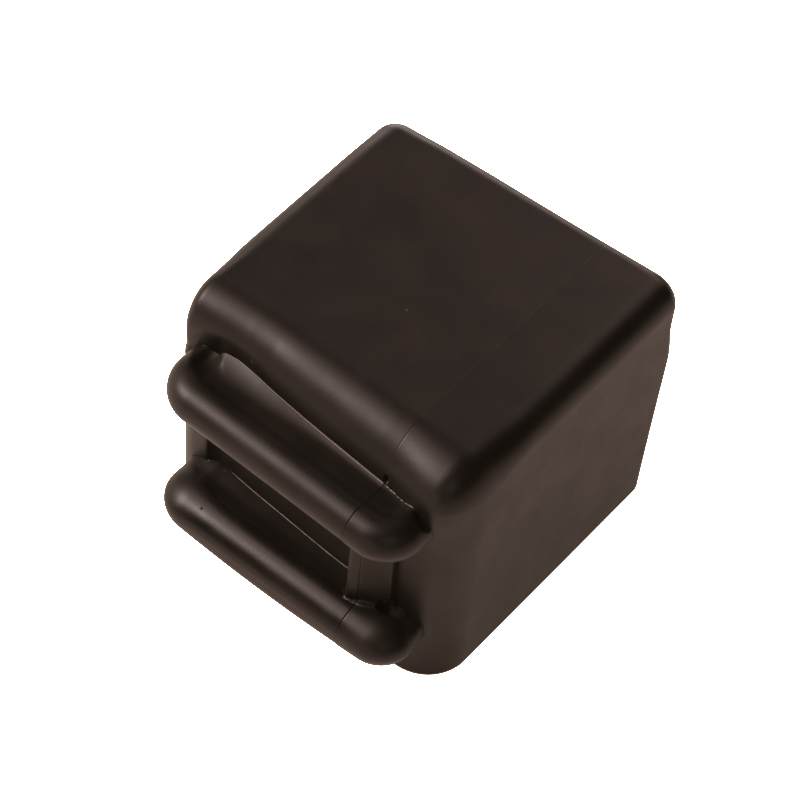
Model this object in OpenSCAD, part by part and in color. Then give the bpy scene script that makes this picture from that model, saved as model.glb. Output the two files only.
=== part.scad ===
// Foot cap: one moulded rubber piece that pushes over the end of a square leg.
// It stands on its mouth rim, with the flat sole up. Two tongue-shaped ribs and
// a short web stand out of the front face (-Y). X runs along the ribs.

/* [Body] */
// Width across the two end faces, along the ribs
body_w = 50; // [46:0.5:60]
// Depth from the ribbed face to the back face, at mid width
body_d = 48.8; // [46:0.2:60]
// Height from the mouth rim to the sole
body_h = 45.6; // [44:0.2:60]
// Draft of the ribbed face and of the back face along the width, in degrees
side_draft = 2.35; // [0:0.05:2.5]
// Inward lean of all four sides from the sole down to the rim, in degrees
rim_lean = 0.57; // [0:0.01:0.8]
// Radius of the long edge between the sole and the ribbed face
front_edge_r = 7.7; // [5:0.1:9]
// Radius of the other edges of the sole
sole_edge_r = 3.5; // [2:0.1:4.5]
// Radius of the upright corners at the front right
corner_r_front = 6.5; // [4:0.1:8]
// Radius of the other upright corners
corner_r = 4.5; // [3:0.1:6]

/* [Socket] */
// Side of the square leg that the socket takes
leg = 40; // [36:0.5:40]
// Depth of the socket from the rim
socket_depth = 38; // [24:0.5:39]
// Radius of the socket's upright corners
socket_corner_r = 2.5; // [1:0.1:4]

/* [Ribs] */
// Height of the upper rib's middle plane above the rim
upper_z = 34.7; // [33:0.1:35]
// Thickness of the upper rib
upper_t = 6.4; // [5:0.1:7]
// Height of the lower rib's middle plane above the rim
lower_z = 11.0; // [9:0.1:13]
// Thickness of the lower rib
lower_t = 7.5; // [5:0.1:8]
// How far the rib noses stand out of the front face
rib_reach = 7.75; // [6:0.05:9]
// Left end of the ribs, from mid width
rib_left = 22.0; // [19:0.1:22.5]
// Right end of the ribs, from mid width
rib_right = 21.6; // [19:0.1:22.5]
// Corner radius of the ribs in plan, to the middle of the rounded nose
rib_corner_r = 2.8; // [1.5:0.1:4]

/* [Web] */
// Left side of the web, from mid width
web_left = 11.2; // [6:0.1:12]
// Width of the web
web_w = 5.4; // [4:0.1:6]
// How far the web stands out of the front face
web_reach = 3.4; // [2.5:0.1:4.5]
// Radius of the web's right edge
web_r = 2.4; // [1:0.1:2.5]

/* [Gusset] */
// Rise of the upper rib's gusset up the front face at its left end
gusset_rise = 3.1; // [2:0.1:4]
// Rise of the gusset at its right end
gusset_rise_right = 0.9; // [0.6:0.1:2]
// Run of the gusset out over the rib
gusset_run = 4.2; // [2:0.1:4.5]
// Run of the gusset at its right end
gusset_run_right = 1.8; // [1:0.1:3]
// Left end of the gusset, from mid width
gusset_left = 16.5; // [12:0.1:18]
// Right end of the gusset, from mid width
gusset_right = 12.6; // [8:0.1:15]

/* [Hidden] */
lean = tan(rim_lean);
draft = tan(side_draft);
// half sizes at the sole and at the rim
hw = body_w / 2;
hd = body_d / 2;
inset = body_h * lean;

// distance from mid depth to the front or back face at the sole, at a given x
function face_y(x) = hd + draft * x;
// points of an arc about c, from angle a to angle b
function arc(c, r, a, b, n) = [for (i = [0:n]) c + r * [cos(a + (b - a) * i / n), sin(a + (b - a) * i / n)]];

// square with rounded corners, as a plain outline
module rounded_square(side, r) {
    h = side / 2 - r;
    polygon(concat(
        arc([h, h], r, 0, 90, 6), arc([-h, h], r, 90, 180, 6),
        arc([-h, -h], r, 180, 270, 6), arc([h, -h], r, 270, 360, 6)));
}

// short upright post that sets a corner at the rim; sx and sy give the corner
module rim_post(sx, sy, r) {
    x = sx * (hw - inset);
    translate([x - sx * r, sy * (face_y(x) - inset) - sy * r, 0]) cylinder(r = r, h = 0.5, $fn = 32);
}

// disc with a rounded rim, lying along X: one end of the large front edge
module edge_disc(sx) {
    x = sx * hw;
    translate([x - sx * sole_edge_r, -face_y(x - sx * sole_edge_r) + front_edge_r, body_h - front_edge_r])
        rotate([0, 90, 0])
            rotate_extrude($fn = 32) translate([front_edge_r - sole_edge_r, 0]) intersection() {
                circle(r = sole_edge_r, $fn = 32);
                translate([0, -sole_edge_r]) square([sole_edge_r, 2 * sole_edge_r]);
            }
}

// outer form of the body, rounded all round the sole and sharp at the rim
module outer() {
    hull() {
        rim_post(-1, -1, corner_r);
        rim_post(1, -1, corner_r_front);
        rim_post(-1, 1, corner_r);
        rim_post(1, 1, corner_r);
        edge_disc(-1);
        edge_disc(1);
        for (sx = [-1, 1])
            translate([sx * (hw - sole_edge_r), face_y(sx * hw) - sole_edge_r, body_h - sole_edge_r])
                sphere(r = sole_edge_r, $fn = 32);
    }
}

// moves to the front face at mid width, with +Y running out of the face
module on_front(z) {
    translate([0, -hd + lean * (body_h - z), z]) rotate([0, 0, -side_draft]) mirror([0, 1, 0]) children();
}

// tongue-shaped rib with a fully rounded nose and rounded ends
module rib(z, t) {
    r = t / 2;
    c = rib_corner_r;
    on_front(z) hull() {
        translate([-rib_left + r + c, rib_reach - r - c, 0]) nose_corner(r, c);
        translate([rib_right - r - c, rib_reach - r - c, 0]) nose_corner(r, c);
        translate([-rib_left + r, -1.5, 0]) sphere(r = r, $fn = 32);
        translate([rib_right - r, -1.5, 0]) sphere(r = r, $fn = 32);
    }
}

// ring that rounds the rib's corner both in plan and in thickness
module nose_corner(r, c) {
    rotate_extrude($fn = 32) translate([c, 0]) intersection() {
        circle(r = r, $fn = 32);
        translate([0, -r]) square([r, 2 * r]);
    }
}

// upright web that joins the two ribs near their right end
module web() {
    on_front(lower_z) linear_extrude(upper_z - lower_z) polygon(concat(
        [[web_left, -2], [web_left + web_w, -2]],
        arc([web_left + web_w - web_r, web_reach - web_r], web_r, 0, 90, 8),
        [[web_left + 0.6, web_reach], [web_left, web_reach - 0.6]]));
}

// thin slice of the gusset, sloping from the face down to the rib
module gusset_slice(x, rise, run) {
    translate([x, 0, 0]) rotate([90, 0, 90]) linear_extrude(0.4)
        polygon([[-2.5, -1], [run, -1], [run, 0], [-0.6, rise], [-2.5, rise]]);
}

// gusset between the upper rib and the front face, larger at its left end
module gusset() {
    on_front(upper_z + upper_t / 2) hull() {
        gusset_slice(-gusset_left, gusset_rise, gusset_run);
        gusset_slice(gusset_right, gusset_rise_right, gusset_run_right);
    }
}

// square socket for the leg, open at the rim
module socket() {
    translate([0, 0, -1]) linear_extrude(socket_depth + 1) rounded_square(leg, socket_corner_r);
}

module foot_cap() {
    color([0.10, 0.085, 0.075]) difference() {
        union() {
            outer();
            rib(upper_z, upper_t);
            rib(lower_z, lower_t);
            web();
            gusset();
        }
        socket();
    }
}

foot_cap();
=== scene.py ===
import math
import bpy
import numpy as np
from mathutils import Matrix, Vector


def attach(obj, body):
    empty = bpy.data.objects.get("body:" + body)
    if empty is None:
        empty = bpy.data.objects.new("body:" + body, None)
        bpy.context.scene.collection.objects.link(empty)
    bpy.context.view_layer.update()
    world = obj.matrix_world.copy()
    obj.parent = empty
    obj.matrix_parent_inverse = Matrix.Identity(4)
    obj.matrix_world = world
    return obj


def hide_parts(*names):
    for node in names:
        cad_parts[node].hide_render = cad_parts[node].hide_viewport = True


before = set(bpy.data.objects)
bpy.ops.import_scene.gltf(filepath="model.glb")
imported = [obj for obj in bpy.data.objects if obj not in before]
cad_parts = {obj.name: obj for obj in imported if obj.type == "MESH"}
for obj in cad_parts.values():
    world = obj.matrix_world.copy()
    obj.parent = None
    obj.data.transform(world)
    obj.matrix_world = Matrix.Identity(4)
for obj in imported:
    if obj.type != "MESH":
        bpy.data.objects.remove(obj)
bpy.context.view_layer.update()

# ------------------------------------------------------------------
# The cap as an implicit form, in millimetres. Same axes as the CAD:
# X along the ribs, -Y the ribbed side, +Z the closed end, rim at z = 0.
# ------------------------------------------------------------------
H = 45.535         # closed end
HW = 25.0          # half width
HDF, HDB = 24.164, 24.335   # ribbed side and back at mid width
TF, TB = 0.037, 0.052       # how much they open towards +X
KL, KR, KF, KB = 0.009, 0.010, 0.018, 0.013   # walls lean in towards the rim
XP = 12.64         # mould parting plane
COS, SIN = math.cos(math.atan(TF)), math.sin(math.atan(TF))


def sstep(a, b, t):
    s = np.clip((t - a) / (b - a), 0.0, 1.0)
    return s * s * (3 - 2 * s)


def lerp(a, b, t):
    return a + (b - a) * t


def rmax(a, b, r):
    return np.minimum(np.maximum(a, b), -r) + np.hypot(np.maximum(a + r, 0), np.maximum(b + r, 0))


def smax(a, b, k):
    h = np.maximum(k - np.abs(a - b), 0) / k
    return np.maximum(a, b) + h * h * k * 0.25


def on_front(x, y, z, z0):
    ry = y - (-HDF + KF * (H - z0))
    return x * COS - ry * SIN, -x * SIN - ry * COS, z - z0


def set_back(x, z):
    """How far the panel behind the ribs sits behind the ribbed side."""
    d = 0.80 - 0.039 * (x + 14) + 0.033 * (z - 14)
    return (np.maximum(d, 0) + 0.3 * sstep(-6, -15, x) * sstep(30, 36, z)) * sstep(21, 12, x)


def body(x, y, z):
    g = H - z
    d_l = -x - HW + KL * g
    d_r = x - HW + KR * g
    flat = -y - HDF - TF * x + KF * g
    # above the upper rib the ribbed side sits back, and its top edge is tighter there
    back = set_back(np.maximum(x, -15), 38.5 + 0 * x) * lerp(lerp(0.34, 1.0, sstep(-25, -14, x)), lerp(0.40, 1.0, np.clip((x + 25) / 15, 0, 1)), sstep(39.5, 42, z))
    out = flat + back * sstep(33.5, 36, z)
    r_e = np.interp(x, [-22, -14, -10, -6, 2, 10, 20], [5.7, 5.6, 5.9, 6.2, 6.8, 7.1, 8.1])
    d_b = y - HDB - TB * x + KB * g
    d_t = z - H
    sx, sz, sy = sstep(-12, 12, x), sstep(29, 38, z), sstep(8, -12, y)
    near_f, end_l, end_r = sstep(-8, -18, y), sstep(-13, -21, x), sstep(11, 20, x)
    near_bl = sstep(-14, -22, x) * sstep(12, 21, y)
    br = lerp(2.5, 1.3, sstep(0, 40, z))
    r_f = lerp(lerp(4.12, 7.2, sx), r_e, sz)
    r_l = lerp(lerp(6.0, 4.12, sy), lerp(3.28 + 0.3 * near_bl, lerp(2.12, 2.63, sstep(38, 43, z)), near_f), sz)
    r_r = lerp(lerp(br, 7.2, sy), lerp(4.4, 5.0, near_f), sz)
    r_b = lerp(lerp(6.0, br, sx), 2.83 + 0.4 * near_bl, sz)
    r_t = lerp(lerp(3.28, 4.4, sx) + 0.3 * near_bl, lerp(lerp(r_e, 5.31, end_l), 6.5, end_r), near_f)
    s, k = np.zeros_like(x), np.zeros_like(x)
    for d, r in ((d_l, r_l), (d_r, r_r), (out, r_f), (d_b, r_b), (d_t, r_t)):
        u = np.maximum(0, 1 + d / r)
        s += u * u
        k += r * u * u
    k = np.where(s > 1e-9, k / np.maximum(s, 1e-9), 4.0)
    f = (np.sqrt(s) - 1) * k
    # panel between the ribs, cut back, with a short step at its left end
    e = -rmax(-(flat + set_back(x, z)), -(x + 18.4 + 1.1 * flat) / 1.49, 0.9)
    e = -rmax(-e, 10.0 - z, 0.5)
    e = -rmax(-e, z - 35.0, 0.5)
    return smax(f, e, 0.1)


def plan(xl, yo, x0, x1, p, r0, r1):
    c, hx = 0.5 * (x0 + x1), 0.5 * (x1 - x0)
    r = np.where(xl < c, r0, r1)
    qx = np.abs(xl - c) - hx + r
    qy = yo - p + r
    return np.hypot(np.maximum(qx, 0), np.maximum(qy, 0)) + np.minimum(np.maximum(qx, qy), 0) - r


def past_parting(x):
    return sstep(XP - 0.02, XP + 0.06, x)


def ramp_upper(xl, yo):
    """Rise of the upper rib's top towards the panel."""
    start = np.interp(xl, [-16, -13, -6, -2, 2, 10, 20], [2.2, 2.0, 1.6, 0.9, 0.5, 0.3, 0.6])
    end = np.interp(xl, [-16, -13, -10, -6, -2, 10, 12.6, 13.0, 19.0], [0.58, 0.64, 0.66, 0.60, 0.56, 0.60, 0.60, 0.35, 0.2])
    length = start + set_back(xl, 38.5 + 0 * xl)
    return end * length * 0.5 * np.clip((start - yo) / length, 0, 1.25) ** 2 * sstep(0, 0.5 + 1.3 * np.clip(yo + 1.5, 0, 4), xl + 18.0)


def rib_upper(x, y, z):
    xl, yo, zz = on_front(x, y, z, 34.58)
    d = plan(xl, yo, -18.965, 18.03, 4.642 - 0.067 * xl / 25, 3.09, 2.8)
    top = ramp_upper(xl, yo) - np.interp(xl, [-17, -12], [0.55, 0.42]) * sstep(0.0, 2.0, -d)
    r = 3.307 + np.where(zz > 0, top * sstep(0, 2.0, zz), 0) + 0.08 * past_parting(x)
    return np.maximum(np.hypot(np.maximum(d, 0), zz) - r, -(yo + 4))


def rib_lower(x, y, z):
    xl, yo, zz = on_front(x, y, z, 10.726)
    end = 18.35 - 0.16 * np.clip(3.5 - yo, 0, 6)
    d = plan(xl, yo, -17.92, end, 4.553 - 0.65 * xl / 25, 1.99, 1.6)
    top = -np.interp(xl, [-17, -10, 4, 12], [0.12, 0.38, 0.30, 0.05]) * sstep(0.5, 3.2, -d) + np.interp(xl, [-17, 12], [0.35, 0.0]) * sstep(2.0, -1.0, yo)
    bow = 0.473 * (1 - (xl / 18.0) ** 2)
    r = 3.638 + np.where(zz > 0, top * sstep(0, 2.0, zz), bow * sstep(0, -2.5, zz)) + 0.08 * past_parting(x)
    soft = np.interp(xl, [-18, -12], [1.9, 1.3]) * sstep(0, 2.0, zz)
    nose = np.maximum(d + soft, 0) * 3.638 / (3.638 + soft)
    return np.maximum(np.hypot(nose, zz) - r, -(yo + 4))


def dent(x, y, z, c, r):
    """An ellipsoid to press into a face: x along the rib, y out of the ribbed side."""
    xl, yo, zz = on_front(x, y, z, c[2])
    q = np.sqrt(((xl - c[0]) / r[0]) ** 2 + ((yo - c[1]) / r[1]) ** 2 + (zz / r[2]) ** 2)
    return (q - 1) * min(r)


def web(x, y, z):
    xl, yo, zz = on_front(x, y, z, 23.0)
    a = rmax(-(xl - 10.8), yo - 4.0, 0.6)
    a = rmax(0.508 * (xl - 11.6) + 0.861 * (yo - 3.95), a, 1.0)
    a = rmax(xl - 16.4, a, 0.3)
    a = np.maximum(a, np.abs(zz) - 12.0)
    return np.maximum(a, -(yo + 3.0))


def socket(x, y, z):
    ax, ay = np.abs(x) - 17.5, np.abs(y) - 17.5
    q = np.hypot(np.maximum(ax, 0), np.maximum(ay, 0)) + np.minimum(np.maximum(ax, ay), 0) - 2.5
    return rmax(q, z - 38.0, 1.2)


def cap(x, y, z):
    line = np.exp(-((x - XP) / 0.075) ** 2)
    f = body(x, y, z) + 0.022 * line
    up = smax(rib_upper(x, y, z), -dent(x, y, z, (20.0, 0.0, 37.1), (1.3, 0.7, 0.9)), 0.8)
    up = smax(up, -dent(x, y, z, (-18.5, 0.3, 38.6), (1.5, 2.7, 1.6)), 0.8)
    ribs = np.minimum(up, rib_lower(x, y, z))
    xl, yo, _ = on_front(x, y, z, 22.0)
    f = np.minimum(f, -smax(-ribs, -web(x, y, z), lerp(0.3, 1.0, sstep(11.6, 13.6, xl))) + 0.07 * line)
    f = smax(f, -dent(x, y, z, (16.2, 1.0, 14.6), (1.7, 1.3, 1.2)), 0.4)
    f = smax(f, -dent(x, y, z, (XP + 0.18, -0.4, 38.75), (0.42, 0.95, 0.85)), 0.2)
    f = rmax(f, -z, 0.35)
    return rmax(f, -socket(x, y, z), 0.6)


# ------------------------------------------------------------------
# Dual contouring on a rectilinear grid
# ------------------------------------------------------------------
def spaced(*parts):
    out = []
    for a, b, h in parts:
        n = max(1, int(round((b - a) / h)))
        out.extend(np.linspace(a, b, n + 1)[:-1])
    out.append(parts[-1][1])
    return np.array(out)


def slope(fn, p, e=2e-3):
    x, y, z = p.T
    g = np.c_[fn(x + e, y, z) - fn(x - e, y, z), fn(x, y + e, z) - fn(x, y - e, z), fn(x, y, z + e) - fn(x, y, z - e)]
    return g / (2 * e)


def unit(v):
    return v / (np.linalg.norm(v, axis=1, keepdims=True) + 1e-12)


def contour(fn, gx, gy, gz):
    grid = np.meshgrid(gx, gy, gz, indexing="ij")
    val = fn(*grid)
    inside = val < 0
    dims = val.shape
    ny, nz = dims[1], dims[2]
    cells, pts, quads = [], [], []
    for ax in range(3):
        s0, s1 = [slice(None)] * 3, [slice(None)] * 3
        s0[ax], s1[ax] = slice(0, -1), slice(1, None)
        i0 = np.argwhere(inside[tuple(s0)] != inside[tuple(s1)])
        i1 = i0.copy()
        i1[:, ax] += 1
        p0 = np.c_[gx[i0[:, 0]], gy[i0[:, 1]], gz[i0[:, 2]]]
        p1 = np.c_[gx[i1[:, 0]], gy[i1[:, 1]], gz[i1[:, 2]]]
        v0, v1 = val[tuple(i0.T)], val[tuple(i1.T)]
        a, b, fa = np.zeros(len(i0)), np.ones(len(i0)), v0.copy()
        t = v0 / (v0 - v1)
        for _ in range(12):
            f = fn(*(p0 + (p1 - p0) * t[:, None]).T)
            same = (f < 0) == (fa < 0)
            a, fa, b = np.where(same, t, a), np.where(same, f, fa), np.where(same, b, t)
            t = 0.5 * (a + b)
        q = p0 + (p1 - p0) * t[:, None]
        u, w = ((1, 2), (2, 0), (0, 1))[ax]
        ok = (i0[:, u] > 0) & (i0[:, w] > 0) & (i0[:, u] < dims[u] - 1) & (i0[:, w] < dims[w] - 1)
        i0, q, out = i0[ok], q[ok], (v0 < 0)[ok]
        ring = []
        for du, dw in ((-1, -1), (0, -1), (0, 0), (-1, 0)):
            c = i0.copy()
            c[:, u] += du
            c[:, w] += dw
            ring.append((c[:, 0] * (ny - 1) + c[:, 1]) * (nz - 1) + c[:, 2])
        ring = np.stack(ring, 1)
        quads.append(np.where(out[:, None], ring, ring[:, ::-1]))
        for c in ring.T:
            cells.append(c)
            pts.append(q)
    quads, cells, pts = np.vstack(quads), np.concatenate(cells), np.vstack(pts)
    nrm = unit(slope(fn, pts))
    used, inv = np.unique(cells, return_inverse=True)
    n = len(used)
    cnt = np.bincount(inv, minlength=n).astype(float)
    mass = np.stack([np.bincount(inv, pts[:, i], n) for i in range(3)], 1) / cnt[:, None]
    off = (nrm * (pts - mass[inv])).sum(1)
    mat, rhs = np.zeros((n, 3, 3)), np.zeros((n, 3))
    for i in range(3):
        rhs[:, i] = np.bincount(inv, nrm[:, i] * off, n)
        for j in range(3):
            mat[:, i, j] = np.bincount(inv, nrm[:, i] * nrm[:, j], n)
    ev, vec = np.linalg.eigh(mat)
    w = np.where(ev > 0.08 * ev[:, 2:3], 1 / np.maximum(ev, 1e-9), 0)
    move = np.einsum("nij,nj,nkj,nk->ni", vec, w, vec, rhs)
    k, j, i = used % (nz - 1), (used // (nz - 1)) % (ny - 1), used // ((nz - 1) * (ny - 1))
    lo, hi = np.c_[gx[i], gy[j], gz[k]], np.c_[gx[i + 1], gy[j + 1], gz[k + 1]]
    v = np.clip(mass + move, lo, hi)
    for _ in range(3):
        f, g = fn(*v.T), slope(fn, v)
        v = np.clip(v - (f / np.maximum((g * g).sum(1), 0.25))[:, None] * g, lo, hi)
    return v, np.searchsorted(used, quads)


def loop_normals(fn, v, quads):
    """Surface normals, split where a crease runs through a vertex."""
    at = v[quads]
    mid = at.mean(1, keepdims=True)
    near = (at + 0.22 * (mid - at)).reshape(-1, 3)
    g = unit(slope(fn, near)).reshape(-1, 4, 3)
    n0 = unit(slope(fn, v))
    mean = np.zeros_like(v)
    for c in range(4):
        np.add.at(mean, quads[:, c], g[:, c])
    mean = unit(mean)
    worst = np.ones(len(v))
    for c in range(4):
        np.minimum.at(worst, quads[:, c], (g[:, c] * mean[quads[:, c]]).sum(1))
    soft = worst > math.cos(math.radians(14))
    return np.where(soft[quads][:, :, None], mean[quads], g), n0


def cap_mesh():
    g = np.array([-0.30, -0.20, -0.13, -0.08, -0.035, 0.0, 0.035, 0.08, 0.13, 0.20, 0.30])
    gx = np.r_[spaced((-25.6, -14.0, 0.42), (-14.0, XP - 0.6, 0.7)), XP + g, spaced((XP + 0.6, 25.6, 0.42))]
    gy = spaced((-33.0, -24.6, 0.4), (-24.6, -21.6, 0.15), (-21.6, -16.5, 0.5), (-16.5, 19.5, 1.0), (19.5, 26.2, 0.5))
    gz = spaced((-0.5, 1.3, 0.3), (1.3, 7.0, 0.6), (7.0, 13.6, 0.4), (13.6, 15.2, 0.15), (15.2, 31.0, 0.75), (31.0, 37.6, 0.4), (37.6, 39.6, 0.15), (39.6, 46.0, 0.4))
    v, q = contour(cap, gx, gy, gz)
    nrm, _ = loop_normals(cap, v, q)
    return v, q, nrm


def seam(rib, xs, y0, z0):
    """Where a rib's top meets the panel, one point for each x."""
    y, z = np.full_like(xs, y0), np.full_like(xs, z0)
    e = 1e-3
    for _ in range(25):
        a, b = body(xs, y, z), rib(xs, y, z)
        ay, az = (body(xs, y + e, z) - a) / e, (body(xs, y, z + e) - a) / e
        by, bz = (rib(xs, y + e, z) - b) / e, (rib(xs, y, z + e) - b) / e
        det = ay * bz - az * by
        det = np.where(np.abs(det) < 1e-3, 1e-3, det)
        y = y - np.clip((a * bz - b * az) / det, -0.5, 0.5)
        z = z - np.clip((b * ay - a * by) / det, -0.5, 0.5)
    return np.c_[xs, y, z]


def bead(path, radius, sides=8):
    """A closed tube along a path, drawn to a point at both ends."""
    n = len(path)
    t = np.gradient(path, axis=0)
    t = unit(t)
    u = unit(np.cross(t, np.array([0.0, -0.47, 0.88]) + 0 * t))
    w = np.cross(t, u)
    u, w = u * 1.15, w * 0.55
    a = np.linspace(0, 2 * np.pi, sides, endpoint=False)
    ring = path[:, None] + radius[:, None, None] * (np.cos(a)[None, :, None] * u[:, None] + np.sin(a)[None, :, None] * w[:, None])
    nrm = np.cos(a)[None, :, None] * u[:, None] / 1.3225 + np.sin(a)[None, :, None] * w[:, None] / 0.3025
    nrm = unit(nrm.reshape(-1, 3))
    i, j = np.meshgrid(np.arange(n - 1), np.arange(sides), indexing="ij")
    k = (j + 1) % sides
    q = np.stack([i * sides + j, i * sides + k, (i + 1) * sides + k, (i + 1) * sides + j], -1).reshape(-1, 4)
    ends = np.array([[3, 2, 1, 0], [7, 4, 3, 0], [7, 6, 5, 4]])
    q = np.vstack([q, ends, ends[:, ::-1] + (n - 1) * sides])
    return ring.reshape(-1, 3), q, nrm


def wobble(x, k):
    return np.sin(1.7 * x + k) + 0.7 * np.sin(4.1 * x + 2.1 * k) + 0.5 * np.sin(9.3 * x + 1.3 * k)


def add_beads(v, q, nrm):
    runs = []
    xs = np.linspace(-17.0, XP - 0.12, 220)
    p = seam(rib_upper, xs, -22.8, 38.6)
    r = (np.interp(xs, [-17, -9, 0, 12], [0.10, 0.15, 0.24, 0.26]) + 0.012 * wobble(xs, 0.4)) * sstep(-17.0, -16.7, xs) * sstep(XP - 0.12, XP - 0.3, xs)
    runs.append((p, r))
    xs = np.linspace(XP + 0.12, 18.3, 90)
    p = seam(rib_upper, xs, -24.3, 37.8)
    p[:, 2] += 0.05 * wobble(xs, 2.2)
    r = (0.13 + 0.022 * wobble(xs, 3.0)) * sstep(XP + 0.12, XP + 0.3, xs) * sstep(18.3, 17.6, xs)
    runs.append((p, r))
    xs = np.linspace(-15.0, 10.9, 220)
    p = seam(rib_lower, xs, -23.3, 14.1)
    r = (0.14 + 0.014 * wobble(xs, 1.1)) * sstep(-15.0, -12.5, xs)
    runs.append((p, r))
    for p, r in runs:
        bv, bq, bn = bead(p, np.maximum(r, 0.004))
        q = np.vstack([q, bq + len(v)])
        nrm = np.concatenate([nrm, bn[bq]])
        v = np.vstack([v, bv])
    return v, q, nrm


form = cap_mesh()
n_form = len(form[0])
verts, quads, normals = add_beads(*form)
print("cap mesh", len(verts), "vertices", len(quads), "quads", verts.min(0), verts.max(0))
me = bpy.data.meshes.new("foot_cap_skin")
me.vertices.add(len(verts))
me.vertices.foreach_set("co", (verts * 0.001).astype(np.float32).ravel())
me.loops.add(len(quads) * 4)
me.loops.foreach_set("vertex_index", quads.astype(np.int32).ravel())
me.polygons.add(len(quads))
me.polygons.foreach_set("loop_start", np.arange(0, len(quads) * 4, 4, dtype=np.int32))
me.update(calc_edges=True)
me.validate()
me.polygons.foreach_set("use_smooth", np.ones(len(me.polygons), dtype=bool))
me.normals_split_custom_set(normals.reshape(-1, 3).tolist())
flash = me.attributes.new("flash", "FLOAT", "POINT")
flash.data.foreach_set("value", (np.arange(len(me.vertices)) >= n_form).astype(np.float32))
skin = bpy.data.objects.new("foot_cap_skin", me)
bpy.context.scene.collection.objects.link(skin)


# ------------------------------------------------------------------
# Moulded black-brown rubber
# ------------------------------------------------------------------
def node(nt, kind, x=0, y=0, **sets):
    n = nt.nodes.new(kind)
    n.location = (x, y)
    for k, v in sets.items():
        setattr(n, k, v)
    return n


rubber = bpy.data.materials.new("moulded_rubber")
rubber.use_nodes = True
nt = rubber.node_tree
nt.nodes.clear()
out = node(nt, "ShaderNodeOutputMaterial", 900, 0)
bsdf = node(nt, "ShaderNodeBsdfPrincipled", 600, 0)
nt.links.new(bsdf.outputs["BSDF"], out.inputs["Surface"])
tc = node(nt, "ShaderNodeTexCoord", -1200, 0)


def noise(scale, detail, rough, y):
    n = node(nt, "ShaderNodeTexNoise", -900, y)
    n.inputs["Scale"].default_value = scale
    n.inputs["Detail"].default_value = detail
    n.inputs["Roughness"].default_value = rough
    nt.links.new(tc.outputs["Object"], n.inputs["Vector"])
    return n


cloud = noise(110, 5, 0.6, 300)
ramp_c = node(nt, "ShaderNodeValToRGB", -500, 300)
ramp_c.color_ramp.elements[0].position = 0.36
ramp_c.color_ramp.elements[0].color = (0.0020, 0.0016, 0.0014, 1)
ramp_c.color_ramp.elements[1].position = 0.70
ramp_c.color_ramp.elements[1].color = (0.0068, 0.0053, 0.0046, 1)
nt.links.new(cloud.outputs["Fac"], ramp_c.inputs["Fac"])
patch = noise(160, 5, 0.6, 0)
rough = node(nt, "ShaderNodeMapRange", -500, 0)
rough.inputs["From Min"].default_value = 0.3
rough.inputs["From Max"].default_value = 0.7
rough.inputs["To Min"].default_value = 0.41
rough.inputs["To Max"].default_value = 0.48
nt.links.new(patch.outputs["Fac"], rough.inputs["Value"])
# the lower rib is a little smoother
axes = node(nt, "ShaderNodeSeparateXYZ", -1000, 700)
nt.links.new(tc.outputs["Object"], axes.inputs["Vector"])


def ramp_on(axis, a, b, y):
    n = node(nt, "ShaderNodeMapRange", -800, y, interpolation_type="SMOOTHSTEP")
    n.inputs["From Min"].default_value = a
    n.inputs["From Max"].default_value = b
    nt.links.new(axes.outputs[axis], n.inputs["Value"])
    return n.outputs["Result"]


def math_of(op, a, b, y):
    n = node(nt, "ShaderNodeMath", -560, y, operation=op)
    for i, v in enumerate((a, b)):
        if isinstance(v, float):
            n.inputs[i].default_value = v
        else:
            nt.links.new(v, n.inputs[i])
    return n.outputs[0]


low = math_of("MULTIPLY", ramp_on("Z", 0.020, 0.015, 900), ramp_on("Y", -0.0245, -0.027, 1100), 900)
low = math_of("MULTIPLY", low, ramp_on("X", -0.0185, -0.0135, 700), 700)
low = math_of("MULTIPLY", low, ramp_on("Z", 0.0095, 0.0125, 500), 500)
low = math_of("MULTIPLY", low, ramp_on("X", 0.0165, 0.0115, 300), 300)
skin_rough = math_of("SUBTRACT", rough.outputs["Result"], math_of("MULTIPLY", low, 0.16, 860), 60)
# the sole's two mould halves differ a little in finish
half = math_of("MULTIPLY", ramp_on("X", 0.01260, 0.01268, 1300), ramp_on("Z", 0.039, 0.044, 1500), 1400)
skin_rough = math_of("SUBTRACT", skin_rough, math_of("MULTIPLY", half, 0.03, 1300), 1200)
# one small pit on the lower rib, and a dull mark at its right end
for at, near_r, far_r, more, y in (
    ((-0.01369, -0.02938, 0.01372), 0.00012, 0.00030, 0.5, 200),
    ((0.02030, -0.02500, 0.01330), 0.00050, 0.00150, 0.5, 0),
    ((0.01780, -0.02500, 0.01360), 0.00050, 0.00160, 0.5, -150),
):
    gap = node(nt, "ShaderNodeVectorMath", -1000, y, operation="DISTANCE")
    gap.inputs[1].default_value = at
    nt.links.new(tc.outputs["Object"], gap.inputs[0])
    spot = node(nt, "ShaderNodeMapRange", -800, y, interpolation_type="SMOOTHSTEP")
    spot.inputs["From Min"].default_value = far_r
    spot.inputs["From Max"].default_value = near_r
    nt.links.new(gap.outputs["Value"], spot.inputs["Value"])
    skin_rough = math_of("ADD", skin_rough, math_of("MULTIPLY", spot.outputs["Result"], more, y + 20), y - 40)
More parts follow.
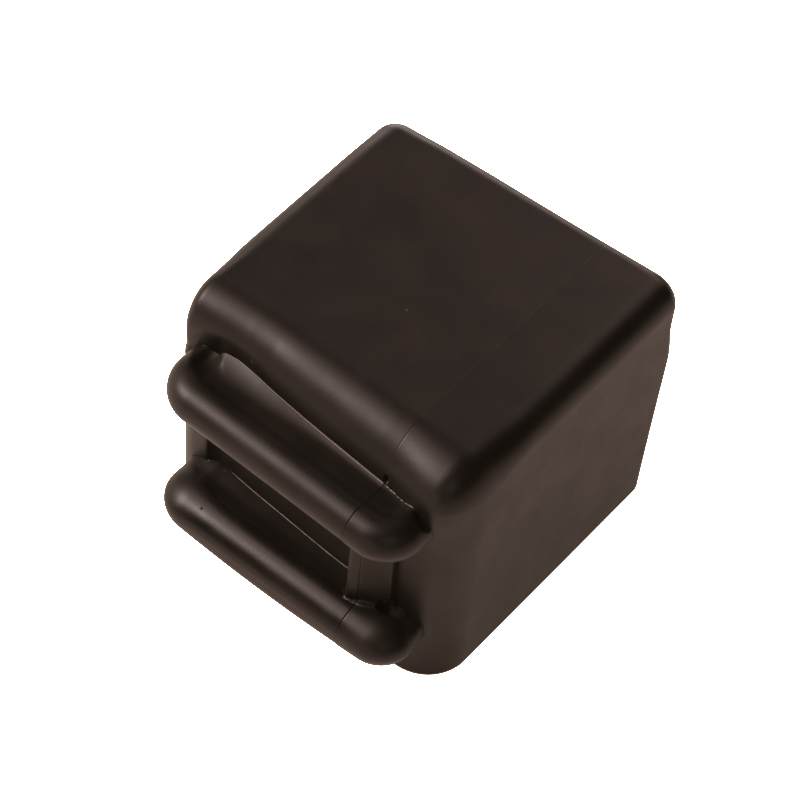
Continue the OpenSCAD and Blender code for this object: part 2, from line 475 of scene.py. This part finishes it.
# dust
dots = node(nt, "ShaderNodeTexVoronoi", -1000, -900)
dots.inputs["Scale"].default_value = 330
nt.links.new(tc.outputs["Object"], dots.inputs["Vector"])
near = node(nt, "ShaderNodeMapRange", -800, -900)
near.inputs["From Min"].default_value = 0.085
near.inputs["From Max"].default_value = 0.045
nt.links.new(dots.outputs["Distance"], near.inputs["Value"])
pick = node(nt, "ShaderNodeSeparateColor", -800, -1100)
nt.links.new(dots.outputs["Color"], pick.inputs["Color"])
dust = math_of("MULTIPLY", near.outputs["Result"], math_of("GREATER_THAN", pick.outputs["Red"], 0.9, -1100), -900)
dusty = node(nt, "ShaderNodeMix", -300, 420, data_type="RGBA")
dusty.inputs[7].default_value = (0.040, 0.036, 0.032, 1)
nt.links.new(dust, dusty.inputs[0])
nt.links.new(ramp_c.outputs["Color"], dusty.inputs[6])
# thin mould flash is smoother than the skin; its paler base colour is a painted highlight along the flash lines
thin = node(nt, "ShaderNodeAttribute", -900, -600, attribute_name="flash")
flash_painted_highlight_mix = node(nt, "ShaderNodeMix", -200, 300, data_type="RGBA")
# pale colour painted onto the flash beads as their highlight
flash_painted_highlight_mix.inputs[7].default_value = (0.055, 0.046, 0.040, 1)
nt.links.new(thin.outputs["Fac"], flash_painted_highlight_mix.inputs[0])
nt.links.new(dusty.outputs[2], flash_painted_highlight_mix.inputs[6])
nt.links.new(flash_painted_highlight_mix.outputs[2], bsdf.inputs["Base Color"])
gloss = node(nt, "ShaderNodeMapRange", -250, 60)
gloss.inputs["To Max"].default_value = 0.32
nt.links.new(thin.outputs["Fac"], gloss.inputs["Value"])
nt.links.new(skin_rough, gloss.inputs["To Min"])
nt.links.new(gloss.outputs["Result"], bsdf.inputs["Roughness"])
grain = noise(2600, 3, 0.6, -300)
bump = node(nt, "ShaderNodeBump", -200, -300)
bump.inputs["Strength"].default_value = 0.12
bump.inputs["Distance"].default_value = 0.00008
nt.links.new(grain.outputs["Fac"], bump.inputs["Height"])
nt.links.new(bump.outputs["Normal"], bsdf.inputs["Normal"])
bsdf.inputs["IOR"].default_value = 1.5
bsdf.inputs["Specular IOR Level"].default_value = 0.29
bsdf.inputs["Specular Tint"].default_value = (1.0, 0.98, 0.96, 1)
me.materials.append(rubber)

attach(skin, "root")
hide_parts("foot_cap")

# ------------------------------------------------------------------
# Stage
# ------------------------------------------------------------------
floor_me = bpy.data.meshes.new("floor")
s = 6.0
floor_me.from_pydata([(-s, -s, -0.0001), (s, -s, -0.0001), (s, s, -0.0001), (-s, s, -0.0001)], [], [(0, 1, 2, 3)])
floor = bpy.data.objects.new("floor", floor_me)
bpy.context.scene.collection.objects.link(floor)
pale = bpy.data.materials.new("pale_floor")
pale.use_nodes = True
pb = pale.node_tree.nodes["Principled BSDF"]
pb.inputs["Base Color"].default_value = (0.6, 0.57, 0.52, 1)
pb.inputs["Roughness"].default_value = 0.9
pb.inputs["Emission Color"].default_value = (1.0, 0.95, 0.87, 1)
pb.inputs["Emission Strength"].default_value = 0.42
pb.inputs["Specular IOR Level"].default_value = 0.0
floor_me.materials.append(pale)

world = bpy.data.worlds.new("studio")
bpy.context.scene.world = world
world.use_nodes = True
bg = world.node_tree.nodes["Background"]
bg.inputs["Color"].default_value = (1.0, 1.0, 1.0, 1)
bg.inputs["Strength"].default_value = 0.045


def softbox(name, direction, dist, wide, high, light):
    """A rectangular soft light aimed at the part; light is its irradiance there."""
    d = Vector(direction).normalized()
    l = bpy.data.lights.new(name, "AREA")
    l.shape = "RECTANGLE"
    l.size, l.size_y = wide, high
    l.energy = light * math.pi * dist * dist
    o = bpy.data.objects.new(name, l)
    o.location = Vector((0, 0, 0.02)) + d * dist
    o.rotation_mode = "QUATERNION"
    o.rotation_quaternion = d.to_track_quat("Z", "Y")
    bpy.context.scene.collection.objects.link(o)
    return o


softbox("key", (-0.42, -0.38, 0.82), 0.8, 0.56, 0.56, 1.6)
softbox("key_core", (-0.63, -0.49, 0.61), 0.5, 0.18, 0.18, 3.5)
softbox("back", (0.05, 0.73, 0.67), 0.33, 0.20, 0.20, 1.0)
softbox("low_back_left", (-0.61, 0.78, 0.17), 1.0, 0.60, 0.30, 1.6)
softbox("low_left", (-0.98, -0.10, 0.17), 1.0, 0.60, 0.30, 0.25)
softbox("low_front", (0.0, -0.98, 0.17), 1.0, 0.60, 0.30, 0.35)
softbox("right", (0.62, -0.55, 0.56), 1.0, 0.40, 0.40, 0.30)

# ------------------------------------------------------------------
# Camera at the photograph's angle
# ------------------------------------------------------------------
right = Vector((0.77424151, 0.6292767, 0.06753458))
down = Vector((0.529835, -0.58610511, -0.61298913))
fwd = Vector((-0.34615742, 0.51038382, -0.78719972))
# half a pixel of aim: the picture's centre lies between pixels
fwd = (fwd - (right + down) * (0.5 / 3543)).normalized()
right = (right - fwd * right.dot(fwd)).normalized()
down = fwd.cross(right)
cam = bpy.data.cameras.new("camera")
cam.sensor_width = 36.0
cam.lens = 3543 / 800 * 36.0
cam.clip_start, cam.clip_end = 0.01, 50
eye = bpy.data.objects.new("camera", cam)
eye.matrix_world = Matrix((
    (right.x, -down.x, -fwd.x, 0.16944),
    (right.y, -down.y, -fwd.y, -0.25354),
    (right.z, -down.z, -fwd.z, 0.41072),
    (0, 0, 0, 1)))
bpy.context.scene.collection.objects.link(eye)
bpy.context.scene.camera = eye
bpy.context.scene.view_settings.view_transform = "Standard"
bpy.context.scene.view_settings.look = "None"
# a warm print: dark tones lean to brown, the pale floor stays white
view = bpy.context.scene.view_settings
view.use_curve_mapping = True
tones = (0.010, 0.031, 0.080, 0.150, 0.240)
prints = (tones, (0.0078, 0.0232, 0.0610, 0.1220, 0.205), (0.0060, 0.0200, 0.0545, 0.1130, 0.195))
for k, seen in enumerate(prints):
    curve = view.curve_mapping.curves[k]
    for p in tuple(zip(tones, seen)) + ((0.36, 1.0),):
        curve.points.new(*p)
    curve.points[0].location = (0.0, (0.0040, 0.0022, 0.0014)[k])
    for p in curve.points:
        p.handle_type = "VECTOR"
view.curve_mapping.update()
